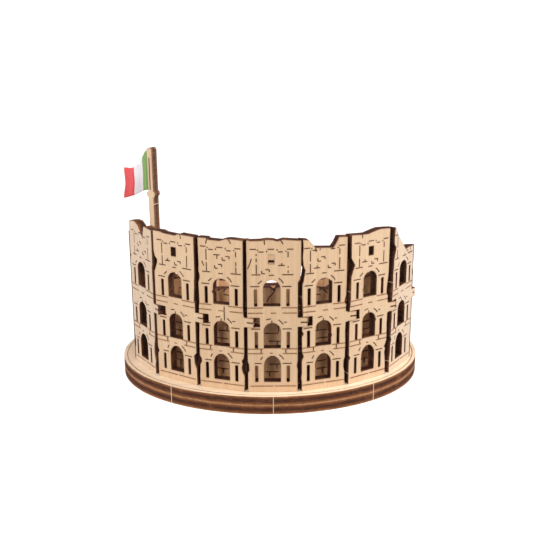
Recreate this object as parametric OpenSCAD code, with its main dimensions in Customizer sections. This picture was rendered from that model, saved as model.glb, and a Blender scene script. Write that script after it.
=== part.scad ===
// Miniature amphitheatre: a souvenir model cut from thin plywood.
// Sixteen wall plates stand in an oval two-ply base and hook into each other;
// a lower ring of brick plates and two seating tiers stand inside them.
// Millimetres. The front faces -Y, +Z is up, and the origin is the middle of
// the underside of the base.

/* [Plywood] */
// Thickness of the plywood
ply = 3; // [2.9:0.05:3.05]
// Play of a piece in its slot, both sides together
play = 0.1; // [0.06:0.02:0.14]
// Width of an engraved line
score_w = 0.3; // [0.2:0.05:0.35]
// Depth of an engraved line
score_depth = 0.25; // [0.15:0.05:0.4]

/* [Base] */
// Length of the oval base, side to side
base_len = 103.2; // [102:0.2:108]
// Depth of the oval base, front to back
base_dep = 81.2; // [80:0.2:86]

/* [Wall] */
// Width of a wall plate
plate_w = 15.6; // [15.4:0.1:15.7]
// Distance of the wall's middle to the right of the base's middle
wall_shift = 0.9; // [0:0.1:1]
// Clear distance between the wall and the brick ring
ring_gap = 4.5; // [4.4:0.05:4.8]
// Width of an arch
arch_w = 5.3; // [4.8:0.1:5.4]
// Width of a pilaster slot
slot_w = 1; // [0.8:0.1:1.2]
// Length of the hook that links a plate to its neighbour
hook_len = 3; // [2.8:0.1:3.1]

/* [Flag] */
// Height of the top of the flag mast above the table
mast_top = 80.1; // [79.6:0.1:84]
// Width of the mast strip
mast_w = 1.8; // [1.6:0.1:2]
// Height of the flag paper at the mast
flag_h = 12.3; // [11:0.1:12.4]

/* [Hidden] */
COUNT = 16;

VENEER = [0.87, 0.72, 0.54];
CORE = [0.55, 0.36, 0.22];
STONE = [0.82, 0.66, 0.47];

eps = 0.1;              // how far a cut runs past the surface it opens
base_h = 2 * ply;       // height of both base plies
oval_sides = 120;
rim_line = 1.05;        // distance of the engraved rim line from the edge
tenon_w = 6;
tenon_h = ply - play;

// Plan of the wall. Going round from the front plate, the corners turn by
// these angles up to the side plate, and the other quarters mirror them.
TURNS = [18, 14, 24, 34];
joint_gap = 0.05;       // between the inner corners of two plates
pitch = plate_w + joint_gap;
function turn(i) = let (k = (i + COUNT) % 8) TURNS[min(k, 7 - k)];
function heading(i) = i == 0 ? 0 : heading(i - 1) + turn(i - 1);
half_dep = pitch * (sin(heading(1)) + sin(heading(2)) + sin(heading(3)) + 0.5);
function along(a) = [cos(a), sin(a)];
function corner(i) = i == 0 ? [wall_shift - pitch / 2, -half_dep] : corner(i - 1) + pitch * along(heading(i - 1));
// Corner i moved inwards, so that both plates' faces move by the distance
function inset(i, distance) =
    let (bend = turn(i - 1) / 2)
    corner(i) + distance / cos(bend) * along(heading(i) - bend + 90);

// Rows of openings: the sill and the crown of each row's arches
SILLS = [3.2, 14.65, 28.5];
CROWNS = [11.8, 23.1, 36.9];
slot_h = 5.5;
slot_offset = 4.95;     // pilaster slots, from the plate's middle
mid = plate_w / 2;

// Hooks and the notches that take them
HOOK_HIGH = 21.8;
HOOK_LOW = 10.3;
notch_w = 3.85;
notch_h = 3.1;
hook_slit = 0.4;
hook_slit_start = 0.9;

// Cornice lines and the other engraved levels
PLINTH = 2;
CORNICES = [[13, 14.55], [26.4, 28.1]];
ATTIC = 38.75;
CRENEL = 46.8;
crenel_drop = 0.85;

// Attic window
window = [2, 3];
window_at = [6.5, 42.1];
plug_gap = 0.04;
plug_recess = 0.08;
plug_break_at = 0.45;
plug_break = 0.75;
plug_break_deep = 1.6;

// Broken upper edges of the wall plates, as [place, height] from the left
TOPS = [
    [[0, 49.6], [1.2, 49.3], [4.4, 49.4], [6, 49.7], [8, 49.6], [9.3, 49.2], [11, 49.7], [plate_w, 49.4]],
    [[0, 49.6], [2.6, 49.2], [3.4, 48.2], [4.6, 46.7], [10.4, 46.2], [11.3, 47.4], [12.3, 49.4], [plate_w, 49.2]],
    [[0, 49.5], [4.8, 49.1], [6.5, 49], [9.2, 49.6], [11.5, 50], [plate_w, 49.7]],
    [[0, 49.6], [2, 49.3], [4, 46.2], [6.8, 43.4], [9.6, 40.5], [10.4, 40.2], [12.4, 40.6], [plate_w, 40.3]],
    [[0, 40.3], [2.4, 38.4], [4.2, 34], [6.8, 31.6], [9.5, 30.6], [12, 27.2], [plate_w, 24]],
    [[0, 20.5], [3, 19.6], [5.2, 17], [8, 17.4], [11, 16.2], [plate_w, 15.8]],
    [[0, 15.8], [4, 16.2], [6.6, 15.2], [10, 15.9], [plate_w, 15.4]],
    [[0, 15.4], [3.4, 15.1], [6, 15.9], [11.2, 15.2], [plate_w, 14.4]],
    [[0, 14.6], [3.9, 14.3], [5.2, 13], [8, 12.7], [11.6, 12.8], [plate_w, 13.8]],
    [[0, 13.8], [2.4, 14.6], [5, 15.8], [7.4, 15], [12, 15.6], [plate_w, 15.3]],
    [[0, 15.3], [3.2, 16], [8.8, 15.4], [12, 16.1], [plate_w, 15.9]],
    [[0, 15.9], [5.6, 16.6], [8.4, 18.2], [12.5, 17.8], [plate_w, 20.2]],
    [[0, 24], [3, 29.4], [5.6, 31.4], [8, 34.8], [11.4, 36.4], [13, 41], [plate_w, 45.6]],
    [[0, 49.5], [2, 49.8], [4.3, 49.9], [6.4, 49], [8, 47.4], [9.2, 46.1], [9.8, 45.2], [10.2, 47.7],
        [10.8, 49.5], [plate_w, 49.2]],
    [[0, 49.5], [2.8, 49.5], [4, 49.1], [8.5, 48.9], [10, 49.5], [plate_w, 49.4]],
    [[0, 49.1], [0.9, 49.4], [3.6, 49.4], [4.2, 48.9], [8, 48.8], [9.6, 49.4], [11, 49.6], [plate_w, 49.4]]
];
// Rows of arches in each plate
ROWS = [3, 3, 3, 3, 2, 1, 1, 1, 1, 1, 1, 1, 2, 3, 3, 3];
// Plates that end in a window, and tall plates that link at the high hook
function has_window(i) = i == 0 || i == 2 || i == 14;
function is_tall(i) = ROWS[i % COUNT] == 3;
LOOSE = 12;             // the one plate that has no hook
function hook_z(i) = is_tall(i) || is_tall(i + 1) ? HOOK_HIGH : HOOK_LOW;

// What is left of the attic's pilasters, as spans of height
LEFT_SPANS = [[39, 41.8], [42.5, 46]];
RIGHT_SPANS = [[39.3, 43], [44, 45.8]];
LEFT_PILASTER = [for (i = [0:COUNT - 1]) i == 0 ? [[39.1, 42], [42.8, 43.9], [44.7, 45.3]] : LEFT_SPANS];
RIGHT_PILASTER = [for (i = [0:COUNT - 1])
    i == 0 ? [[39.3, 40.1], [41, 41.4], [44.3, 46]] :
    i == COUNT - 1 ? [[39, 40.9], [41.3, 42.5], [44.1, 45.7]] : RIGHT_SPANS];

// Broken side edges of the wall plates: runs of [height, depth broken away].
// The right edges are whole where their hook stands. The inner layer of the
// plywood only goes where the break is deep.
inner_layer = 0.9;
LEFT_EDGES = [
    [[[6.2, 0], [7.5, 0.5], [9.5, 0.35], [10.5, 0]]],
    [[[-1, 0.4], [3.2, 0.4], [4.6, 0.2], [6.2, 0.4], [10.2, 0.35], [11.8, 1], [13.2, 0.45], [18.4, 0.35],
        [19.3, 0.95], [20.2, 0.4], [25.5, 0.65], [31, 0.45], [35, 0.45], [37.8, 0.75], [39.7, 1.3],
        [41.6, 0.8], [44, 0.55], [47, 0.75], [52, 0.45]]],
    [[[8, 0], [9, 0.5], [9.8, 0.1]],
        [[26, 0.1], [28.6, 0.3], [36, 0.35], [38.4, 1.1], [39.8, 1.7], [41, 1], [42.2, 0.3], [52, 0.15]]],
    [[[-1, 0.1], [5.9, 0.3], [7.3, 0.6], [10, 0.6], [11.3, 1.3], [12.6, 0.6], [14.2, 0.75], [17, 0.75],
        [18.8, 1], [25.2, 0.8], [29, 1.15], [34.2, 1.05], [36, 1.35], [38.6, 1.35], [39.8, 1.7],
        [41.2, 2.3], [42.6, 2.6], [43.9, 1.3], [45.5, 1.2], [52, 1.9]]],
    [[[31, 0], [33, 0.6], [35, 0]]], [], [], [], [], [], [], [], [],
    [[[5, 0.5], [7.4, 0.6], [8.7, 0.35], [10, 0]], [[36.8, 0], [37.7, 0.5], [38.6, 0]]],
    [[[7.9, 0], [8.9, 0.5], [9.8, 0.2], [10.6, 0]],
        [[36, 0], [37, 0.4], [39.2, 1.2], [40.2, 1.3], [41.1, 0.5], [43, 0]]],
    [[[-1, 0.55], [3.3, 0.4], [7.6, 0.6], [8.7, 1.15], [9.7, 1.05], [10.7, 0.5], [14.8, 0.45], [21, 0.65],
        [27, 0.65], [29, 0.9], [35, 0.75], [36.5, 1.2], [37.8, 1.2], [38.6, 0.9], [41, 1], [52, 0.85]]]
];
RIGHT_EDGES = [
    [[[7.6, 0], [8.6, 0.25], [9.6, 0.2], [10.6, 0]]],
    [[[-1, 0.6], [5.2, 0.8], [6.3, 1.15], [8.6, 1.1], [9.6, 0.75], [13.5, 0.6], [18.5, 0.75], [21.6, 0.65]],
        [[25.1, 0.65], [27.4, 0.6], [28.5, 1.15], [30.6, 0.65], [36, 0.55], [48.8, 0.5], [52, 0.7]]],
    [[[-1, 0.6], [5, 0.75], [8.2, 1.1], [9.2, 0.8], [10.2, 1.3], [10.9, 0.8], [12.5, 0.35], [17.5, 0.5],
        [21.6, 0.4]],
        [[25.1, 0.4], [27.4, 0.4], [28.5, 0.95], [29.7, 1], [31, 0.85], [35, 0.4], [52, 0.3]]],
    [[[29.4, 0], [31, 0.4], [32.6, 0]]],
    [], [], [], [], [], [], [], [], [],
    [[[-1, 0.4], [3.4, 0.6], [4.6, 0.2], [6.4, 0.7], [7.6, 1], [10.6, 0.7], [12, 0.3], [14, 0]]],
    [[[5.6, 0], [7.4, 0.7], [10.1, 0.95], [11.2, 0]], [[28.1, 0], [28.6, 0.3], [30.6, 0.2], [34, 0]]],
    [[[-1, 0.3], [4.4, 0.1], [5.4, 0.15], [6.6, 0.75], [8.2, 1.05], [9.4, 0.7], [10.4, 1], [11.3, 0.35],
        [13, 0.15], [21.6, 0.15]],
        [[25.1, 0.2], [28, 0.35], [34.4, 0.25], [52, 0.1]]]
];
// Outer layers that stand past the right edge: [how far, down to this height]
LIPS = [[0.95, 36.6], [], [], [], [], [], [], [], [], [], [], [], [], [0.45, 37], [0.25, 35.5], []];
lip_layer = 1.8;
// The one break that goes right through, in the plate right of the front one
HOLE_EDGE = [[35, 0], [36.2, 0.8], [38.6, 1.2], [40, 1.4], [41.2, 0.8], [42, 0]];

OFF_NONE = [[0, 0], [0, 0], [0, 0], [0, 0]];
// How far each plate's openings are off its middle and its rows' levels:
// lower, middle and upper row, then the attic
SHIFTS = [
    [[-0.1, 0.2], [-0.1, 0.1], [-0.2, 0.1], [0, 0]], [[-0.3, 0], [-0.3, 0], [-0.2, 0], [0, 0]],
    [[-0.2, 0], [-0.1, 0], [0, 0], [0.4, -0.1]], [[-0.7, 0], [0.1, 0], [0.5, 0], [0.6, -0.2]],
    OFF_NONE, OFF_NONE, OFF_NONE, OFF_NONE, OFF_NONE, OFF_NONE, OFF_NONE, OFF_NONE, OFF_NONE,
    [[-0.6, -0.3], [-0.4, 0], [-0.1, 0], [0.5, 0]], [[0, 0], [0.1, 0], [0.2, 0], [0.4, 0]],
    [[0.1, 0], [0.3, 0], [0.4, 0], [0.6, 0]]
];
// Bites out of the arches: [place, height, turn] of each
BITES = [
    [], [[10.3, 17.8, 0], [10, 35.4, 30]], [[10.3, 20.2, 0], [5.2, 31.2, 180]], [],
    [], [], [], [], [], [], [], [], [], [[10.3, 20, 0]], [], [[5.2, 32.4, 180]]
];
bite_deep = 0.45;
bite_half = 0.9;

// Upper edges of the brick plates, evenly spaced heights from the left
CRESTS = [
    [32.2, 32.2, 32.1, 32.1, 32.3, 32.4, 33],
    [32.4, 31.6, 32.8, 30.8, 30.4, 31.6],
    [32, 31.2, 32.4, 31.4, 32.2],
    [31.8, 32.4, 31, 31.6],
    [31, 29.6, 28.4, 27.2],
    [26.8, 25, 24, 22.4],
    [22, 20.6, 20.8, 18.8],
    [18.6, 17.8, 18.2, 17.4],
    [16.6, 15.4, 14.9, 14.8, 15.2, 16.4],
    [17.4, 18.2, 17.8, 18.4],
    [18.8, 20.6, 20.4, 21.8],
    [22.6, 23.8, 25.2, 26.6],
    [27.6, 29.4, 30.8, 31.8],
    [31.8, 32, 32.6, 31.8],
    [31.6, 32.4, 31.2, 32, 31.4],
    [30.2, 30.8, 31, 31.6, 32.8, 32]
];

// What is left of the brick joints, from each brick plate's middle: on the
// front plate, and on the plates to its right, which the left ones mirror
BRICKS = [
    [[-1.2, 6.3], [2.6, 6.3]], [[1.4, 6.3], [1.4, 4.7]], [[-2.4, 3.65], [1.9, 3.65]], [[-1.05, 3.65], [-1.05, 2]],
    [[-5, 9], [-2.4, 9]], [[-3.9, 9], [-3.9, 11.6]], [[-5.1, 11.6], [-1.2, 11.6]], [[-0.6, 9], [1.6, 9]],
    [[3.2, 11.6], [5.2, 11.6]], [[4, 11.6], [4, 9]], [[-1.2, 14.2], [2.75, 14.2]], [[1.5, 14.2], [1.5, 12.9]],
    [[-2.6, 16.9], [1.7, 16.9]], [[1.9, 19.3], [1.9, 17.1]], [[-2.2, 22.2], [0.8, 22.2]],
    [[3.6, 22.2], [5.2, 22.2]], [[-4.8, 24.8], [-2.8, 24.8]]
];
SIDE_BRICKS = [
    [[-0.1, 6.3], [3.7, 6.3]], [[0, 6.3], [0, 4]], [[0.4, 3.65], [4.6, 3.65]], [[2.4, 3.65], [2.4, 2]],
    [[-5, 6.3], [-2.6, 6.3]], [[-4, 9], [-0.6, 9]], [[-2.2, 9], [-2.2, 11.6]], [[1.4, 11.6], [4.8, 11.6]],
    [[3.2, 11.6], [3.2, 9]], [[0.4, 14.2], [4.5, 14.2]], [[-4.6, 14.2], [-2.8, 14.2]],
    [[-0.1, 16.9], [3.7, 16.9]], [[0.7, 19.8], [0.7, 16.9]], [[-4.4, 19.6], [-1.4, 19.6]]
];
UPPER_BRICKS = [[[-3.6, 23.4], [0.8, 23.4]], [[-1.6, 26], [-1.6, 23.4]], [[1.8, 26], [4.6, 26]]];
TOP_BRICKS = [[[-0.2, 29.1], [1.6, 29.1]], [[-3.8, 28.6], [-2.2, 28.6]]];
// Cracks down from the broken tops of the plates either side of the front one
RIGHT_CRACKS = [[[1.9, 31.3], [2.8, 30.3], [3.9, 29.3]], [[1.9, 31.3], [1.1, 30.1]]];
LEFT_CRACKS = [[[-0.6, 31.8], [-1.7, 30.2]], [[-2.8, 31], [-3.9, 30.3]]];
FAR_DRIFT = 2.2;        // the second plates' joints lie this much further out
CRACK = [[0.9, 31.6], [0.3, 30.4], [-1, 29.1], [-1.8, 27.4]];
CREST_NICK = [[-1.6, 0.1], [-0.9, -0.9], [0.6, -2], [1.2, -0.9], [1.5, 0.1]];

// Seating tiers: half axes of their oval openings
LOWER_HOLE = [25, 15];
UPPER_HOLE = [30, 20];

// Flag mast, standing between the wall and the brick ring
mast_at = [-37.2, -13.4];
mast_turn = -26;
collar_z = 65.2;
collar_half = 1;
collar_out = 0.6;
slit_w = 0.3;
slit_x = -0.15;         // slit centre, from the middle of the strip
slit_low = 66.7;
slit_high = 77;
paper = 0.24;
FLAG_TOP = 79.4;
FLAG_FLY = [-12.4, 73.2, 62.3];

// --- shared shapes ---------------------------------------------------------

module oval(size, shrink = 0) {
    polygon([for (k = [0:oval_sides - 1])
        let (a = 360 * k / oval_sides)
        [(size[0] / 2 - shrink) * cos(a), (size[1] / 2 - shrink) * sin(a)]]);
}

module oval_line(size, shrink) {
    difference() {
        oval(size, shrink);
        oval(size, shrink + score_w);
    }
}

module stroke(from, to) {
    run = to - from;
    translate(from) rotate(atan2(run[1], run[0])) translate([0, -score_w / 2])
        square([norm(run), score_w]);
}

module path(points) {
    for (k = [1:len(points) - 1]) stroke(points[k - 1], points[k]);
}

module level_line(z, spans) {
    for (s = spans) stroke([s[0], z], [s[1], z]);
}

// Puts a flat shape where plate i stands: x runs to the right along the
// plate, y is up from the base, and z is outwards from the inner face
module on_plate(i) {
    at = corner(i);
    translate([at[0], at[1], base_h]) rotate(heading(i)) rotate([90, 0, 0])
        translate([joint_gap / 2, 0, 0]) children();
}

module on_mast() {
    translate([mast_at[0], mast_at[1], 0]) rotate(mast_turn) rotate([90, 0, 0]) children();
}

// --- openings of a wall plate ----------------------------------------------

module round_arch(sill, crown) {
    r = arch_w / 2;
    translate([mid, crown - r]) circle(r, $fn = 40);
    translate([mid - r, sill]) square([arch_w, crown - sill - r]);
}

module pointed_arch(sill, crown) {
    spring = crown - 3;
    r = 3.5;
    offset_x = r - arch_w / 2;
    intersection() {
        translate([mid + offset_x, spring]) circle(r, $fn = 60);
        translate([mid - offset_x, spring]) circle(r, $fn = 60);
        translate([mid - arch_w / 2, spring]) square([arch_w, 3.2]);
    }
    translate([mid - arch_w / 2, sill]) square([arch_w, spring - sill]);
}

module row_openings(row) {
    if (row == 0) pointed_arch(SILLS[row], CROWNS[row]);
    if (row > 0) round_arch(SILLS[row], CROWNS[row]);
    for (side = [-1, 1])
        translate([mid + side * slot_offset - slot_w / 2, SILLS[row]]) square([slot_w, slot_h]);
}

// What is broken away along an edge, from points of [height, depth]
module edge_cut(points) {
    last = points[len(points) - 1];
    polygon(concat(
        [[-eps, points[0][0]]],
        [for (p = points) [p[1] == 0 ? -eps / 2 : p[1], p[0]]],
        [[-eps, last[0]]]
    ));
}

module edge_cuts(i) {
    for (run = LEFT_EDGES[i]) edge_cut(run);
    for (run = RIGHT_EDGES[i]) translate([plate_w, 0]) mirror([1, 0]) edge_cut(run);
}

// The top corner and the edge of a plate whose outer layers stand past it
function lip(i) = LIPS[i] == [] ? [] : [
    [plate_w + LIPS[i][0], TOPS[i][len(TOPS[i]) - 1][1]],
    [plate_w + LIPS[i][0], LIPS[i][1] + 4],
    [plate_w + 0.7 * LIPS[i][0], LIPS[i][1] + 1],
    [plate_w, LIPS[i][1]]
];

module bite() {
    polygon([[-eps, -bite_half], [0.6 * bite_deep, -0.5 * bite_half], [bite_deep, 0.1 * bite_half],
        [0.5 * bite_deep, 0.5 * bite_half], [-eps, bite_half]]);
}

// The two prongs of a hook, from the top down
function hook(z) = [
    for (p = [[0, notch_h - play / 2], [hook_len, notch_h - play / 2], [hook_len, (notch_h + hook_slit) / 2],
        [hook_slit_start, (notch_h + hook_slit) / 2], [hook_slit_start, (notch_h - hook_slit) / 2],
        [hook_len, (notch_h - hook_slit) / 2], [hook_len, play / 2], [0, play / 2]])
    [plate_w + p[0], z + p[1]]
];

// The lower edge of a plate, from right to left, with its tenon in the middle
function foot(middle) = [
    [middle + tenon_w / 2, 0], [middle + tenon_w / 2, -tenon_h],
    [middle - tenon_w / 2, -tenon_h], [middle - tenon_w / 2, 0]
];

module wall_outline(i) {
    difference() {
        polygon(concat([[0, 0]], TOPS[i], lip(i), i == LOOSE ? [] : hook(hook_z(i)), [[plate_w, 0]], foot(mid)));
        for (row = [0:ROWS[i] - 1]) translate(SHIFTS[i][row]) row_openings(row);
        if (i != LOOSE + 1)
            translate([-eps, hook_z(i + COUNT - 1)]) square([notch_w + eps, notch_h]);
        if (i == 1) edge_cut(HOLE_EDGE);
        for (b = BITES[i]) translate([b[0], b[1]] + SHIFTS[i][b[1] > SILLS[2] ? 2 : 1]) rotate(b[2]) bite();
        if (has_window(i)) translate(window_at + SHIFTS[i][3]) square(window);
    }
}

// --- engraving of a wall plate ---------------------------------------------

// Broken masonry joints: a corner with its echo, and a tee
module corner_marks(at) {
    path([at + [0, 0.9], at, at + [1, 0]]);
    path([at + [1.1, 1.3], at + [2.3, 1.3], at + [2.3, 0.5]]);
}

module tee_mark(at, stem) {
    stroke(at, at + [2, 0]);
    stroke(at + [1.1, 0], at + [1.1, stem]);
}

module plinth_marks() {
    level_line(PLINTH, [[0.6, 7.9], [8.4, 15.1]]);
}

module cornice_marks(k) {
    level_line(CORNICES[k][0], [[0.2, 4.8], [10.9, 15.3]]);
    level_line(CORNICES[k][1], [[0, 4.9], [10.6, 15.5]]);
    if (k == 0) for (u = [4.2, 11.9]) stroke([u, CORNICES[k][0]], [u, CORNICES[k][1]]);
    if (k == 1) level_line(CORNICES[k][0], [[7.2, 8.9]]);
}

// Capitals over the slots, and the broken archivolt
module row_marks(row) {
    capital = SILLS[row] + (row == 2 ? 6.4 : row == 1 ? 6.45 : 6.3);
    level_line(capital, [row == 0 ? [2.2, 4.4] : [1.3, 4], [11, 13.8]]);
    crown = CROWNS[row];
    if (row == 1) {
        path([[5.9, crown + 1.05], [7.4, crown + 1.35]]);
        path([[9.7, crown + 1], [10.5, crown + 0.35], [11.2, crown - 0.5]]);
        level_line(crown + 0.2, [[11.5, 12.3]]);
        stroke([3.9, crown - 1.2], [3.9, crown - 0.7]);
        stroke([7.7, crown - 0.1], [7.7, crown + 0.8]);
    } else {
        path([[row == 0 ? 4.1 : 3.6, crown - 1.15], [4.4, crown - 0.5], [4.75, crown - 0.1]]);
        path([[9.9, crown + 0.65], [10.7, crown], [11.35, crown - 0.95]]);
        level_line(crown + (row == 0 ? 1.15 : 1.6), [[7, row == 0 ? 7.9 : 8.5]]);
    }
}

module attic_marks(i) {
    level_line(ATTIC, [[1.5, 4.2], [10.8, 14.2]]);
    for (s = LEFT_PILASTER[i]) stroke([2.95, s[0]], [2.95, s[1]]);
    for (s = RIGHT_PILASTER[i]) stroke([12.6, s[0]], [12.6, s[1]]);
    level_line(CRENEL, [[1, 2.9], [6.4, 8.4], [12.3, 14.2]]);
    level_line(CRENEL - crenel_drop, [[3.7, 5.2], [9.6, 11]]);
    level_line(CRENEL - 0.65, [[11.8, 12.2]]);
    for (t = [[3.4, -0.55, -0.1], [6.1, -0.95, -0.4], [9.3, -0.45, 0.05]])
        stroke([t[0], CRENEL + t[1]], [t[0], CRENEL + t[2]]);
    if (i == 0) {
        tee_mark([9.6, 41.7], 0.7);
        corner_marks([4.6, 39.1]);
        path([[0.3, 40.6], [0.9, 42], [1.5, 43.8]]);
    } else if (has_window(i)) {
        tee_mark([4, 40.4], 0.8);
        corner_marks([7.8, 39.4]);
    } else if (i == COUNT - 1) {
        tee_mark([5.4, 44.4], -1.3);
        corner_marks([8.2, 42.8]);
        corner_marks([5.7, 40.1]);
        path([[1.5, 42.1], [2.1, 40.6]]);
    } else if (i == 3) {
        corner_marks([8.6, 38.6]);
    } else {
        corner_marks([5.4, 42.4]);
        tee_mark([4.1, 40.3], 0.8);
        corner_marks([8.8, 40]);
    }
}

// Fine cracks that run in from the broken upper edge
module top_cracks(i) {
    if (i == 0) path([[5.4, 49.9], [5.5, 48.2]]);
    if (i == 0) path([[10.3, 49.6], [11.1, 48.4]]);
    if (i == 1) path([[4.6, 46.9], [4.8, 45.4]]);
    if (i == 2) path([[4.2, 49.4], [4.4, 48]]);
    if (i == 14) path([[10.6, 49.7], [11, 48.2]]);
    if (i == 15) path([[3.9, 49.2], [3.5, 47.6]]);
    if (i == 15) path([[10.8, 49.7], [11.7, 48.2]]);
}

module wall_marks(i) {
    plinth_marks();
    for (row = [0:ROWS[i] - 1]) translate(SHIFTS[i][row]) row_marks(row);
    if (ROWS[i] > 1) for (k = [0:ROWS[i] - 2]) cornice_marks(k);
    if (is_tall(i)) translate(SHIFTS[i][3]) attic_marks(i);
    top_cracks(i);
    if (i == COUNT - 1) stroke([9.1, 23.3], [9.1, 27.9]);
}

// --- pieces ----------------------------------------------------------------

module base_lower() {
    color(VENEER) linear_extrude(ply) oval([base_len, base_dep]);
}

module tenon_slots() {
    slot = [tenon_w + play, ply + play];
    for (i = [0:COUNT - 1]) on_plate(i) {
        translate([mid - slot[0] / 2, -ply - eps, -play / 2]) cube([slot[0], ply + 2 * eps, slot[1]]);
        translate([mid - slot[0] / 2, -ply - eps, -ring_gap - ply - play / 2])
            cube([slot[0], ply + 2 * eps, slot[1]]);
    }
}

module arena_lines() {
    arena = [44, 25];
    oval_line(arena, 0);
    for (y = [-9:3:9])
        let (reach = arena[0] / 2 * sqrt(1 - pow(2 * y / arena[1], 2)) - 1)
        stroke([-reach, y], [reach, y]);
}

module base_upper() {
    color(VENEER) difference() {
        translate([0, 0, ply]) linear_extrude(ply) oval([base_len, base_dep]);
        tenon_slots();
        on_mast() translate([-(mast_w + play) / 2, ply - eps, -(ply + play) / 2])
            cube([mast_w + play, ply + 2 * eps, ply + play]);
        translate([0, 0, base_h - score_depth]) linear_extrude(score_depth + eps) {
            oval_line([base_len, base_dep], rim_line);
            translate([wall_shift, 0]) arena_lines();
        }
    }
}

module seating_tier(level, hole) {
    inner = ring_gap + ply + play;
    translate([0, 0, base_h + level * ply]) linear_extrude(ply) difference() {
        polygon([for (i = [0:COUNT - 1]) inset(i, inner)]);
        translate([wall_shift, 0]) oval(2 * hole);
    }
}

module seating_tier_lower() {
    color(STONE) seating_tier(0, LOWER_HOLE);
}

module seating_tier_upper() {
    color(STONE) seating_tier(1, UPPER_HOLE);
}

module wall_plate(i) {
    color(VENEER) on_plate(i) difference() {
        linear_extrude(ply) wall_outline(i);
        translate([0, 0, inner_layer]) linear_extrude(ply) edge_cuts(i);
        if (LIPS[i] != [])
            translate([plate_w, LIPS[i][1] - 1, -eps]) cube([ply, CRENEL, lip_layer + eps]);
        translate([0, 0, ply - score_depth]) linear_extrude(score_depth + eps) wall_marks(i);
    }
}

// The window's waste, still in its place, with a piece broken out of it
module window_plug() {
    color(STONE) on_plate(0) translate([window_at[0] + plug_gap, window_at[1] + plug_gap, 0]) difference() {
        linear_extrude(ply - plug_recess) square(window - 2 * plug_gap * [1, 1]);
        translate([-eps, plug_break_at, ply - plug_break_deep]) cube([window[0] + eps, plug_break, ply]);
    }
}

module brick_marks(i) {
    if (i == 0) {
        for (line = BRICKS) stroke(line[0], line[1]);
        path(CRACK);
    } else mirror([i > COUNT / 2 ? 1 : 0, 0]) translate([i == 2 || i == COUNT - 2 ? FAR_DRIFT : 0, 0]) {
        for (line = SIDE_BRICKS) stroke(line[0], line[1]);
        if (min(CRESTS[i]) > 26.5) for (line = UPPER_BRICKS) stroke(line[0], line[1]);
        if (min(CRESTS[i]) > 29.5) for (line = TOP_BRICKS) stroke(line[0], line[1]);
    }
    if (i == 1) for (crack = RIGHT_CRACKS) path(crack);
    if (i == COUNT - 1) for (crack = LEFT_CRACKS) path(crack);
}

module ring_plate(i) {
    inner = ring_gap + ply;
    from = inner * tan(turn(i + COUNT - 1) / 2);
    w = plate_w - from - inner * tan(turn(i) / 2);
    crest = CRESTS[i];
    last = len(crest) - 1;
    middle = mid - from;
    color(STONE) on_plate(i) translate([from, 0, -inner]) difference() {
        linear_extrude(ply) difference() {
            polygon(concat([[0, 0]], [for (k = [0:last]) [w * k / last, crest[k]]], [[w, 0]], foot(middle)));
            if (i == 0) translate([middle, max(crest)]) polygon(CREST_NICK);
        }
        translate([middle, 0, ply - score_depth]) linear_extrude(score_depth + eps) brick_marks(i);
    }
}

// One side of the mast's collar, swelling out from the strip's edge
function collar(side) = [
    for (p = [[0, -1], [0.75, -0.6], [1, 0], [0.75, 0.6], [0, 1]])
    [side * (mast_w / 2 + collar_out * p[0]), collar_z + side * collar_half * p[1]]
];

module mast_outline() {
    half = mast_w / 2;
    low = base_h - tenon_h;
    polygon(concat(
        [[-half, low], [half, low]], collar(1),
        [[half, mast_top - 0.6], [half - 0.5, mast_top], [0.3 - half, mast_top - 0.1], [-half, mast_top - 0.5]],
        collar(-1)));
}

module flag_mast() {
    color(VENEER) on_mast() linear_extrude(ply, center = true) difference() {
        mast_outline();
        translate([slit_x - slit_w / 2, slit_low]) square([slit_w, slit_high - slit_low]);
    }
}

// The paper goes through the mast's slit and hangs behind its edge
module flag() {
    back = -ply / 2 - paper - 0.05;
    color("white") on_mast() {
        translate([0, 0, back]) linear_extrude(paper) polygon([
            [slit_x + paper / 2, FLAG_TOP - flag_h], [slit_x + paper / 2, FLAG_TOP],
            [FLAG_FLY[0], FLAG_FLY[1]], [FLAG_FLY[0], FLAG_FLY[2]]]);
        translate([slit_x - paper / 2, FLAG_TOP - flag_h, back])
            cube([paper, slit_high - 0.1 - FLAG_TOP + flag_h, ply - 0.2]);
    }
}

base_lower();
base_upper();
seating_tier_lower();
seating_tier_upper();
for (i = [0:COUNT - 1]) wall_plate(i);
window_plug();
for (i = [0:COUNT - 1]) ring_plate(i);
flag_mast();
flag();
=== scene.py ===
"""Looks of the miniature amphitheatre: laser-cut plywood plates, burnt along
every cut, on an oval base, with a small paper flag on a plywood mast.

All lengths in the materials are millimetres; the object itself is in metres."""

import math

import bpy
import numpy as np
from mathutils import Matrix, Vector


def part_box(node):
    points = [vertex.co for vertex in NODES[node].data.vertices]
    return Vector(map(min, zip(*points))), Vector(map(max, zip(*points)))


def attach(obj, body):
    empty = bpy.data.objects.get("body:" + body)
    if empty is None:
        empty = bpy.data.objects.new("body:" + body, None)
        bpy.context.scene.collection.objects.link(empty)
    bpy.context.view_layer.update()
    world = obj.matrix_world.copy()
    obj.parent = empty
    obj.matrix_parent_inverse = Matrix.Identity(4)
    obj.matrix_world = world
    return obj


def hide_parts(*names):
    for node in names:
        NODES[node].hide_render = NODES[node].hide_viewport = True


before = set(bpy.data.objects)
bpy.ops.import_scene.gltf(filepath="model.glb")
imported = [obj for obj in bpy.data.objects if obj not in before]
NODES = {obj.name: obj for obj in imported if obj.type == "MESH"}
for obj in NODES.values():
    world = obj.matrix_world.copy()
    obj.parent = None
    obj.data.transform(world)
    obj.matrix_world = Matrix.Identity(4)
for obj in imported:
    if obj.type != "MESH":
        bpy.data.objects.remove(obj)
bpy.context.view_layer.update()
MM = 0.001
WHITE = (1, 1, 1, 1)
PLATE_COUNT = 16

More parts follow.
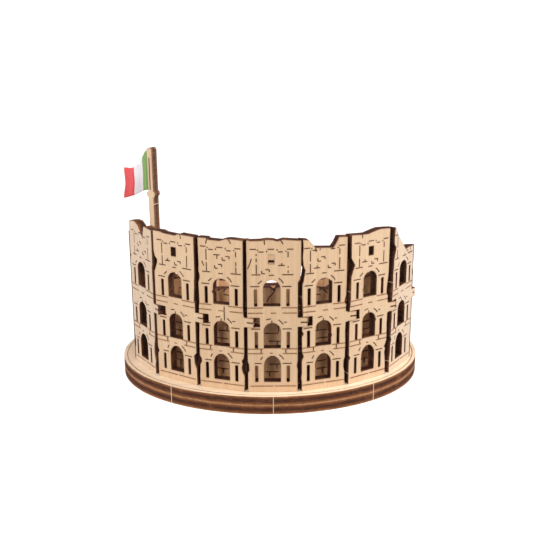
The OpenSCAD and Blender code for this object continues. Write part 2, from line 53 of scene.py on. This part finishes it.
# Camera: where it looks, from which side and how far
CAMERA_TARGET = Vector((0.9, 0, 35.11)) * MM
CAMERA_AZIMUTH = math.radians(0.147)
CAMERA_ELEVATION = math.radians(16.83)
CAMERA_DISTANCE = 301.57 * MM
CAMERA_ROLL = math.radians(-0.334)
CAMERA_LENS = 57.86
CAMERA_SHIFT = -0.0036

# The studio is white to look at, and softer where it lights the object
WORLD_GLOW = 1.0
WORLD_LIGHT = 0.22
FLOOR_GLOW = 1.0
FLOOR_LIGHT = 0.25
FLOOR_GREY = (120, 120, 120)
FLOOR_REACH = 4.0       # from the middle to the edges, in metres

# Softboxes: where, how wide in metres and how many watts
LIGHTS = {
    "left_front_light": ((-0.27, -0.57, 0.36), 0.2, 1.9),
    "right_front_light": ((0.27, -0.57, 0.36), 0.2, 1.3),
    "top_light": ((0.0, -0.1, 0.7), 0.35, 2.3),
    "right_light": ((0.62, 0.0, 0.42), 0.4, 4.5),
    "left_light": ((-0.62, 0.02, 0.04), 0.35, 2.2),
}

# The plywood, as the CAD model has it
PLY = 3.0
SCORE_DEPTH = 0.25
BASE_TOP = 6.0
SAME = 0.03             # two depths closer than this are one surface
FACE_COSINE = 0.9       # a polygon this close to a plate's direction is its face
SIDE_REACH = 2.5        # cuts this near a plate's ends are its outer sides
MAST_TURN = math.radians(-26)
MAST_FACE = Vector((math.sin(MAST_TURN), -math.cos(MAST_TURN), 0))


def linear(rgb):
    """A colour given as it looks on screen, 0 to 255, as Blender wants it."""
    parts = [c / 255 for c in rgb]
    return [p / 12.92 if p <= 0.04045 else ((p + 0.055) / 1.055) ** 2.4 for p in parts] + [1]


# --- camera, light and floor ------------------------------------------------

def add_camera():
    horizontal = math.cos(CAMERA_ELEVATION)
    forward = Vector((
        math.sin(CAMERA_AZIMUTH) * horizontal,
        math.cos(CAMERA_AZIMUTH) * horizontal,
        -math.sin(CAMERA_ELEVATION),
    ))
    right = forward.cross(Vector((0, 0, 1))).normalized()
    up = right.cross(forward)
    turned_right = math.cos(CAMERA_ROLL) * right + math.sin(CAMERA_ROLL) * up
    turned_up = math.cos(CAMERA_ROLL) * up - math.sin(CAMERA_ROLL) * right
    turn = Matrix((turned_right, turned_up, -forward)).transposed()
    data = bpy.data.cameras.new("camera")
    data.lens = CAMERA_LENS
    data.sensor_width = 36
    data.shift_x = CAMERA_SHIFT
    data.clip_start = 0.01
    data.clip_end = 20
    camera = bpy.data.objects.new("camera", data)
    camera.matrix_world = Matrix.Translation(CAMERA_TARGET - CAMERA_DISTANCE * forward) @ turn.to_4x4()
    bpy.context.scene.collection.objects.link(camera)
    bpy.context.scene.camera = camera


def add_area(name, at, size, power):
    data = bpy.data.lights.new(name, "AREA")
    data.shape = "DISK"
    data.size = size
    data.energy = power
    light = bpy.data.objects.new(name, data)
    light.location = at
    light.rotation_euler = (CAMERA_TARGET - Vector(at)).to_track_quat("-Z", "Y").to_euler()
    bpy.context.scene.collection.objects.link(light)


def add_studio():
    world = bpy.data.worlds.new("studio")
    world.use_nodes = True
    tree = world.node_tree
    background = tree.nodes["Background"]
    background.inputs["Color"].default_value = WHITE
    rays = tree.nodes.new("ShaderNodeLightPath")
    softer = tree.nodes.new("ShaderNodeMapRange")
    softer.inputs["To Min"].default_value = WORLD_LIGHT
    softer.inputs["To Max"].default_value = WORLD_GLOW
    tree.links.new(rays.outputs["Is Camera Ray"], softer.inputs["Value"])
    tree.links.new(softer.outputs[0], background.inputs["Strength"])
    bpy.context.scene.world = world
    for name, (at, size, power) in LIGHTS.items():
        add_area(name, at, size, power)


def add_floor(material):
    corners = [(x * FLOOR_REACH, y * FLOOR_REACH, 0) for x, y in ((-1, -1), (1, -1), (1, 1), (-1, 1))]
    mesh = bpy.data.meshes.new("floor")
    mesh.from_pydata(corners, [], [(0, 1, 2, 3)])
    mesh.materials.append(material)
    floor = bpy.data.objects.new("floor", mesh)
    bpy.context.scene.collection.objects.link(floor)


# --- shader building --------------------------------------------------------

class Shader:
    """A material with a Principled shader, and short ways to add its nodes."""

    def __init__(self, name):
        self.material = bpy.data.materials.new(name)
        self.material.use_nodes = True
        self.tree = self.material.node_tree
        self.tree.nodes.clear()
        output = self.tree.nodes.new("ShaderNodeOutputMaterial")
        self.principled = self.tree.nodes.new("ShaderNodeBsdfPrincipled")
        self.tree.links.new(self.principled.outputs[0], output.inputs["Surface"])
        coordinates = self.tree.nodes.new("ShaderNodeTexCoord")
        self.uv = coordinates.outputs["UV"]
        self.place = self.vector("SCALE", coordinates.outputs["Object"], 1 / MM)

    def feed(self, socket, value):
        if isinstance(value, bpy.types.NodeSocket):
            self.tree.links.new(value, socket)
        else:
            socket.default_value = value

    def set(self, name, value):
        self.feed(self.principled.inputs[name], value)

    def math(self, operation, a, b=0.0):
        node = self.tree.nodes.new("ShaderNodeMath")
        node.operation = operation
        self.feed(node.inputs[0], a)
        self.feed(node.inputs[1], b)
        return node.outputs[0]

    def vector(self, operation, a, b):
        node = self.tree.nodes.new("ShaderNodeVectorMath")
        node.operation = operation
        self.feed(node.inputs[0], a)
        self.feed(node.inputs["Scale" if operation == "SCALE" else 1], b)
        return node.outputs["Value" if operation == "DOT_PRODUCT" else "Vector"]

    def axes(self, vector):
        node = self.tree.nodes.new("ShaderNodeSeparateXYZ")
        self.feed(node.inputs[0], vector)
        return node.outputs

    def step(self, value, low, high, out_low=0.0, out_high=1.0):
        node = self.tree.nodes.new("ShaderNodeMapRange")
        node.interpolation_type = "SMOOTHSTEP"
        for k, x in enumerate((value, low, high, out_low, out_high)):
            self.feed(node.inputs[k], x)
        return node.outputs[0]

    def band(self, value, centre, half, soft):
        """1 within half of the centre, falling to 0 over soft."""
        away = self.math("ABSOLUTE", self.math("SUBTRACT", value, centre))
        return self.step(away, half, half + soft, 1.0, 0.0)

    def noise(self, vector, scale, detail=2.0, roughness=0.5, distortion=0.0):
        node = self.tree.nodes.new("ShaderNodeTexNoise")
        self.feed(node.inputs["Vector"], vector)
        node.inputs["Scale"].default_value = scale
        node.inputs["Detail"].default_value = detail
        node.inputs["Roughness"].default_value = roughness
        node.inputs["Distortion"].default_value = distortion
        return node.outputs["Fac"]

    def mix(self, share, a, b):
        node = self.tree.nodes.new("ShaderNodeMix")
        node.data_type = "RGBA"
        self.feed(node.inputs["Factor"], share)
        self.feed(node.inputs[6], a)
        self.feed(node.inputs[7], b)
        return node.outputs[2]

    def ramp(self, value, stops):
        node = self.tree.nodes.new("ShaderNodeValToRGB")
        self.feed(node.inputs[0], value)
        elements = node.color_ramp.elements
        while len(elements) < len(stops):
            elements.new(0.5)
        for element, (at, rgb) in zip(elements, stops):
            element.position = at
            element.color = linear(rgb)
        return node.outputs["Color"]

    def object_value(self, name, socket):
        """A property of the object that wears the material."""
        node = self.tree.nodes.new("ShaderNodeAttribute")
        node.attribute_type = "OBJECT"
        node.attribute_name = name
        return node.outputs[socket]

    def near_edge(self, reach):
        """1 at a cut edge of the solid, falling to 0 within reach of it."""
        node = self.tree.nodes.new("ShaderNodeAmbientOcclusion")
        node.inside = True
        node.only_local = True
        node.samples = 6
        node.inputs["Distance"].default_value = reach * MM
        return self.math("SUBTRACT", 1.0, node.outputs["AO"])

    def bump(self, height, depth):
        node = self.tree.nodes.new("ShaderNodeBump")
        node.inputs["Strength"].default_value = 1.0
        node.inputs["Distance"].default_value = depth * MM
        self.feed(node.inputs["Height"], height)
        self.set("Normal", node.outputs[0])

    def finish(self, colour, roughness):
        self.set("Base Color", colour)
        self.set("Roughness", roughness)
        return self.material


# --- plywood ----------------------------------------------------------------

GRAIN_UP = (1.0, 1.0, 0.045)
GRAIN_ACROSS = (0.045, 1.0, 1.0)
VENEER_LIGHT = (227, 192, 152)
VENEER_DARK = (218, 178, 137)
VENEER_SCORCH = (150, 98, 62)
SCORCH_REACH = 0.55     # how far the smoke tans a face from its cuts
CHAR = (34, 20, 14)
SEARED = (180, 112, 68)
WARM_PATCH = (176, 116, 70)
LONG_LINE = (182, 130, 90)
TICK_WOOD = (236, 206, 172)
TICK_HALF = 0.08
TICK_SOFT = 0.1


def veneer(name, grain, light=VENEER_LIGHT, dark=VENEER_DARK, halo=0.55):
    """A sheet's face: pale rotary-cut veneer, tanned by the smoke along cuts."""
    s = Shader(name)
    along = s.vector("MULTIPLY", s.place, grain)
    fibre = s.noise(along, 3.2, 4, 0.65)
    streak = s.noise(along, 0.55, 3, 0.6, 0.6)
    cloud = s.noise(s.place, 0.07, 2)
    pores = s.noise(s.vector("MULTIPLY", s.place, [1 if g == 1 else 0.16 for g in grain]), 5.5, 1)
    between = [0.5 * (a + b) + 6 for a, b in zip(light, dark)]
    colour = s.mix(s.step(streak, 0.3, 0.72), linear(light), linear(dark))
    colour = s.mix(s.step(cloud, 0.35, 0.7, 0.0, 0.5), colour, linear(between))
    fine = s.step(fibre, 0.3, 0.7)
    colour = s.mix(s.math("MULTIPLY", fine, 0.16), colour, linear([0.72 * c for c in dark]))
    pore = s.step(pores, 0.68, 0.78)
    colour = s.mix(s.math("MULTIPLY", pore, 0.35), colour, linear([0.55 * c for c in dark]))
    edge = s.near_edge(SCORCH_REACH)
    soot = s.math("MULTIPLY", s.step(edge, 0.08, 0.6), s.step(cloud, 0.2, 0.8, 0.75 * halo, halo))
    colour = s.mix(soot, colour, linear(VENEER_SCORCH))
    s.bump(s.math("SUBTRACT", fine, s.math("MULTIPLY", pore, 0.8)), 0.012)
    s.set("IOR", 1.5)
    s.set("Sheen Weight", 0.8)
    s.set("Sheen Roughness", 0.5)
    s.set("Sheen Tint", WHITE)
    return s.finish(colour, s.step(fibre, 0.2, 0.8, 0.42, 0.56))


def burnt(name, layers, ticks=(), tick_axis=0, streaks=0.5):
    """A cut edge: the laser chars the plies, layers give the colours from the
    sheet's inner face (0) to its outer face (1). ticks are the places along an
    axis where a tab held the piece in its sheet and broke off clean."""
    s = Shader(name)
    normal = s.object_value("sheet_normal", "Vector")
    inner = s.object_value("sheet_inner", "Fac")
    depth = s.math("SUBTRACT", s.vector("DOT_PRODUCT", s.place, normal), inner)
    wave = s.noise(s.place, 0.12, 2)
    share = s.math("DIVIDE", s.math("ADD", depth, s.step(wave, 0.2, 0.8, -0.1, 0.1)), PLY)
    colour = s.ramp(share, layers)
    beam = s.noise(s.vector("MULTIPLY", s.place, (1, 1, 0.2)), 4.0, 3, 0.6)
    colour = s.mix(s.math("MULTIPLY", s.step(beam, 0.35, 0.7), streaks), colour, linear(CHAR))
    fibre = s.noise(s.vector("MULTIPLY", s.place, (0.12, 0.12, 1.0)), 2.8, 3, 0.6)
    colour = s.mix(s.step(fibre, 0.5, 0.64, 0.0, 0.35), colour, linear(CHAR))
    colour = s.mix(s.step(fibre, 0.34, 0.48, 0.14, 0.0), colour, linear(SEARED))
    warm = s.step(s.noise(s.place, 0.12, 3, 0.6), 0.52, 0.72)
    colour = s.mix(s.math("MULTIPLY", warm, 0.28), colour, linear(WARM_PATCH))
    along = s.axes(s.place)[tick_axis]
    for tick in ticks:
        clean = s.math("MULTIPLY", s.band(along, tick, TICK_HALF, TICK_SOFT), 0.7)
        colour = s.mix(clean, colour, linear(TICK_WOOD))
    s.bump(s.math("ADD", beam, s.noise(s.place, 9.0, 1)), 0.02)
    s.set("Specular IOR Level", 0.2)
    return s.finish(colour, s.step(beam, 0.2, 0.8, 0.62, 0.8))


def scorched(name, stroke_rgb, line_levels=()):
    """The floor and walls of an engraved line. line_levels are the heights
    of the long lines, which the laser crossed faster and burnt less."""
    s = Shader(name)
    height = s.axes(s.place)[2]
    mottle = s.noise(s.place, 1.1, 3, 0.6)
    colour = s.mix(s.step(mottle, 0.3, 0.7), linear(stroke_rgb), linear([0.72 * c for c in stroke_rgb]))
    for level in line_levels:
        faint = s.mix(s.step(mottle, 0.35, 0.7), linear(LONG_LINE), linear([0.8 * c for c in LONG_LINE]))
        colour = s.mix(s.band(height, BASE_TOP + level, 0.2, 0.05), colour, faint)
    s.bump(mottle, 0.03)
    s.set("Specular IOR Level", 0.2)
    return s.finish(colour, 0.8)


# Heights above the base of the plates' long engraved lines
LONG_LINE_HEIGHTS = (2.0, 13.0, 14.55, 26.4, 28.1)
# Colours of the cut edges through the sheet, from its inner to its outer face
WALL_EDGE = [(0, (120, 74, 51)), (0.2, (92, 54, 38)), (0.38, (62, 36, 26)),
             (0.62, (57, 33, 24)), (0.82, (92, 55, 38)), (1, (134, 88, 61))]
# The base's ramp keeps the plies' own char in the core, and it is lighter towards each ply's top than
# its bottom: painted highlight from the light above.
BASE_EDGE = [(0.0, (196, 142, 98)), (0.12, (150, 94, 56)), (0.3, (104, 60, 36)), (0.45, (76, 42, 30)),
             (0.62, (80, 44, 30)), (0.8, (128, 76, 45)), (0.93, (160, 108, 70)), (1.0, (214, 170, 126))]
MAST_EDGE = [(0, (124, 92, 68)), (0.3, (118, 84, 62)), (0.36, (92, 60, 42)),
             (0.62, (92, 60, 42)), (0.7, (122, 90, 70)), (1, (140, 104, 78))]
# Where the tabs were: along the base, up the mast and up the sides of the plates
BASE_TICKS = (-31.9, 1.0, 33.5)
MAST_TICKS = (61.9,)
SIDE_TICKS = {2: (37.1,), 3: (37.1, 9.7), 4: (37.1, 10), 15: (18,), 16: (29,)}


def dress(node, normal, materials):
    """Gives a sheet piece its face, cut edge, engraving and outer side
    materials. normal points out of the engraved face."""
    piece = NODES[node]
    mesh = piece.data
    points = np.zeros(len(mesh.vertices) * 3)
    mesh.vertices.foreach_get("co", points)
    depths = points.reshape(-1, 3) @ np.array(normal) / MM
    inner, outer = depths.min(), depths.max()
    along = points.reshape(-1, 3) @ np.array((-normal[1], normal[0], 0)) / MM
    first, last = along.min() + SIDE_REACH, along.max() - SIDE_REACH
    mesh.materials.clear()
    for material in materials:
        mesh.materials.append(material)
    for polygon in mesh.polygons:
        own = depths[list(polygon.vertices)]
        if abs(polygon.normal.dot(Vector(normal))) > FACE_COSINE:
            on_face = own.min() > outer - SAME or own.max() < inner + SAME
            polygon.material_index = 0 if on_face else 2
        else:
            engraved = own.min() > outer - SCORE_DEPTH - SAME
            place = along[list(polygon.vertices)]
            on_side = len(materials) > 3 and not first < place.mean() < last
            polygon.material_index = 2 if engraved else 3 if on_side else 1
    piece["sheet_normal"] = [float(c) for c in normal]
    piece["sheet_inner"] = float(inner)


def main_direction(node):
    """The direction of a standing plate's faces, away from the oval's middle."""
    areas = {}
    for polygon in NODES[node].data.polygons:
        direction = polygon.normal
        if abs(direction.z) < 0.1 and direction.dot(polygon.center) > 0:
            key = (round(direction.x, 2), round(direction.y, 2))
            areas[key] = areas.get(key, 0) + polygon.area
    return Vector((*max(areas, key=areas.get), 0)).normalized()


def dress_all():
    wall_face = veneer("wall_veneer", GRAIN_UP)
    # The ring's veneer is a darker copy of the wall veneer: painted shade for the ring plates standing
    # in the shadow behind the walls. The recessed window plug wears it too.
    shaded_ring_face = veneer("ring_veneer_painted_shade", GRAIN_UP, (225, 184, 142), (206, 160, 116))
    # The base's veneer is a paler copy of the wall veneer: painted highlight for the light falling from
    # above on the base.
    lit_base_face = veneer("base_veneer_painted_highlight", GRAIN_ACROSS, (238, 206, 166), (220, 182, 138), 0.4)
    tier_face = veneer("tier_veneer", GRAIN_ACROSS)
    mast_face = veneer("mast_veneer", GRAIN_UP, (232, 202, 166), (214, 176, 136))
    wall_edge = burnt("wall_burnt", WALL_EDGE)
    wall_side = {k: burnt(f"wall_side_burnt_{k}", WALL_EDGE, SIDE_TICKS[k], 2) for k in SIDE_TICKS}
    ring_edge = burnt("ring_burnt", WALL_EDGE)
    base_edge = burnt("base_burnt", BASE_EDGE, BASE_TICKS, 0, streaks=0.25)
    mast_edge = burnt("mast_burnt", MAST_EDGE, MAST_TICKS, 2, streaks=0.3)
    wall_line = scorched("wall_engraving", (92, 60, 42), LONG_LINE_HEIGHTS)
    ring_line = scorched("ring_engraving", (92, 62, 44))
    base_line = scorched("base_engraving", (222, 178, 134))
    for k in range(1, PLATE_COUNT + 1):
        name = f"wall_plate_{k}"
        sides = wall_side.get(k, wall_edge)
        dress(name, main_direction(name), (wall_face, wall_edge, wall_line, sides))
        name = f"ring_plate_{k}"
        dress(name, main_direction(name), (shaded_ring_face, ring_edge, ring_line))
    up = Vector((0, 0, 1))
    for name in ("base_lower", "base_upper"):
        dress(name, up, (lit_base_face, base_edge, base_line))
    for name in ("seating_tier_lower", "seating_tier_upper"):
        dress(name, up, (tier_face, base_edge, base_line))
    dress("window_plug", main_direction("wall_plate_1"), (shaded_ring_face, ring_edge, ring_line))
    dress("flag_mast", MAST_FACE, (mast_face, mast_edge, wall_line))


# --- flag -------------------------------------------------------------------

FLAG_STRIPES = ((118, 162, 76), (238, 230, 234), (222, 64, 66))
STRIPE_ENDS = (0.4, 0.655)      # where the first two stripes end, of the length
STRIPE_SOFT = 0.007
PAPER_SHADE = (205, 196, 206)


def paper():
    s = Shader("flag_paper")
    across = s.axes(s.uv)[0]
    green, white, red = (linear(rgb) for rgb in FLAG_STRIPES)
    fibre = s.noise(s.place, 2.6, 4, 0.7)
    first, second = STRIPE_ENDS
    colour = s.mix(s.step(across, first, first + STRIPE_SOFT), green, white)
    colour = s.mix(s.step(across, second, second + STRIPE_SOFT), colour, red)
    colour = s.mix(s.step(fibre, 0.35, 0.75, 0.0, 0.12), colour, linear(PAPER_SHADE))
    s.bump(fibre, 0.015)
    s.set("IOR", 1.45)
    return s.finish(colour, s.step(fibre, 0.3, 0.7, 0.55, 0.7))


# Along the flag from the slit: distance from the mast's middle, how far it
# swings behind the mast's back face (into the slit below 0), and the heights
# of its two edges
FLAG_LINE = [
    (0.15, -2.6, 66.2, 77.0), (0.15, -1.4, 66.2, 77.0), (0.18, -0.4, 66.2, 77.2), (0.4, 0.2, 66.1, 78.9),
    (1.1, 0.35, 66.0, 79.2), (2.4, 0.2, 65.9, 79.0), (3.5, 0.1, 65.8, 78.4), (4.6, 0.6, 65.5, 77.1),
    (6.2, 0.9, 64.8, 75.1), (7.5, 0.4, 64.0, 73.6), (8.8, 0.0, 63.4, 72.7), (10.2, 0.35, 62.9, 72.5),
    (11.4, 0.5, 62.5, 72.5), (12.4, 0.5, 62.2, 72.5),
]
FLAG_ROWS = 24
FLAG_STEPS = 8
FLAG_START = 3          # the point of the line where the printed flag starts
PAPER_THICK = 0.12
PAPER_GAP = 0.15        # between the paper and the mast's back face
RIPPLE = 0.35           # how far the paper bulges and its free end waves


def smooth(points, steps):
    """A smooth curve through the points, with that many steps between two."""
    points = np.array(points, float)
    ends = np.vstack([2 * points[0] - points[1], points, 2 * points[-1] - points[-2]])
    curve = []
    for a, b, c, d in zip(ends, ends[1:], ends[2:], ends[3:]):
        for k in range(steps):
            t = k / steps
            curve.append(0.5 * (2 * b + (c - a) * t + (2 * a - 5 * b + 4 * c - d) * t ** 2
                                + (3 * b - a - 3 * c + d) * t ** 3))
    curve.append(points[-1])
    return np.array(curve)


def add_flag():
    low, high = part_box("flag_mast")
    middle = Vector(((low.x + high.x) / 2, (low.y + high.y) / 2, 0)) / MM
    left = Vector((MAST_FACE.y, -MAST_FACE.x, 0))
    curve = smooth(FLAG_LINE, FLAG_STEPS)
    run = np.concatenate([[0], np.cumsum(np.linalg.norm(np.diff(curve[:, :2], axis=0), axis=1))])
    vertices, faces = [], []
    for distance, swing, bottom, top in curve:
        reach = distance / FLAG_LINE[-1][0]
        for row in range(FLAG_ROWS + 1):
            t = row / FLAG_ROWS
            lean = RIPPLE * math.sin(math.pi * t) * min(1.0, max(0.0, distance - 1.5) / 3)
            sway = reach * (RIPPLE * math.cos(2 * math.pi * t) + RIPPLE * reach * (1 - 2 * t))
            behind = PLY / 2 + PAPER_GAP + swing - lean
            at = middle + left * (distance + sway) - MAST_FACE * behind
            vertices.append((at.x * MM, at.y * MM, (bottom + (top - bottom) * t) * MM))
    for i in range(len(curve) - 1):
        for row in range(FLAG_ROWS):
            first = i * (FLAG_ROWS + 1) + row
            faces.append((first, first + FLAG_ROWS + 1, first + FLAG_ROWS + 2, first + 1))
    mesh = bpy.data.meshes.new("paper_flag")
    mesh.from_pydata(vertices, [], faces)
    uv = mesh.uv_layers.new(name="along_flag")
    start = run[FLAG_START * FLAG_STEPS]
    for loop in mesh.loops:
        column, row = divmod(loop.vertex_index, FLAG_ROWS + 1)
        uv.data[loop.index].uv = ((run[column] - start) / (run[-1] - start), row / FLAG_ROWS)
    for polygon in mesh.polygons:
        polygon.use_smooth = True
    mesh.materials.append(paper())
    flag = bpy.data.objects.new("paper_flag", mesh)
    bpy.context.scene.collection.objects.link(flag)
    thick = flag.modifiers.new("thickness", "SOLIDIFY")
    thick.thickness = PAPER_THICK * MM
    thick.offset = 0
    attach(flag, "mast")
    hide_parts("flag")


# --- making the scene -------------------------------------------------------

def floor_material():
    s = Shader("pale_floor")
    seen = s.tree.nodes.new("ShaderNodeLightPath").outputs["Is Camera Ray"]
    s.set("Specular IOR Level", 0.1)
    s.set("Emission Color", WHITE)
    s.set("Emission Strength", s.step(seen, 0.0, 1.0, FLOOR_LIGHT, FLOOR_GLOW))
    return s.finish(linear(FLOOR_GREY), 0.9)


add_camera()
add_studio()
add_floor(floor_material())
dress_all()
add_flag()
bpy.context.scene.view_settings.view_transform = "Standard"
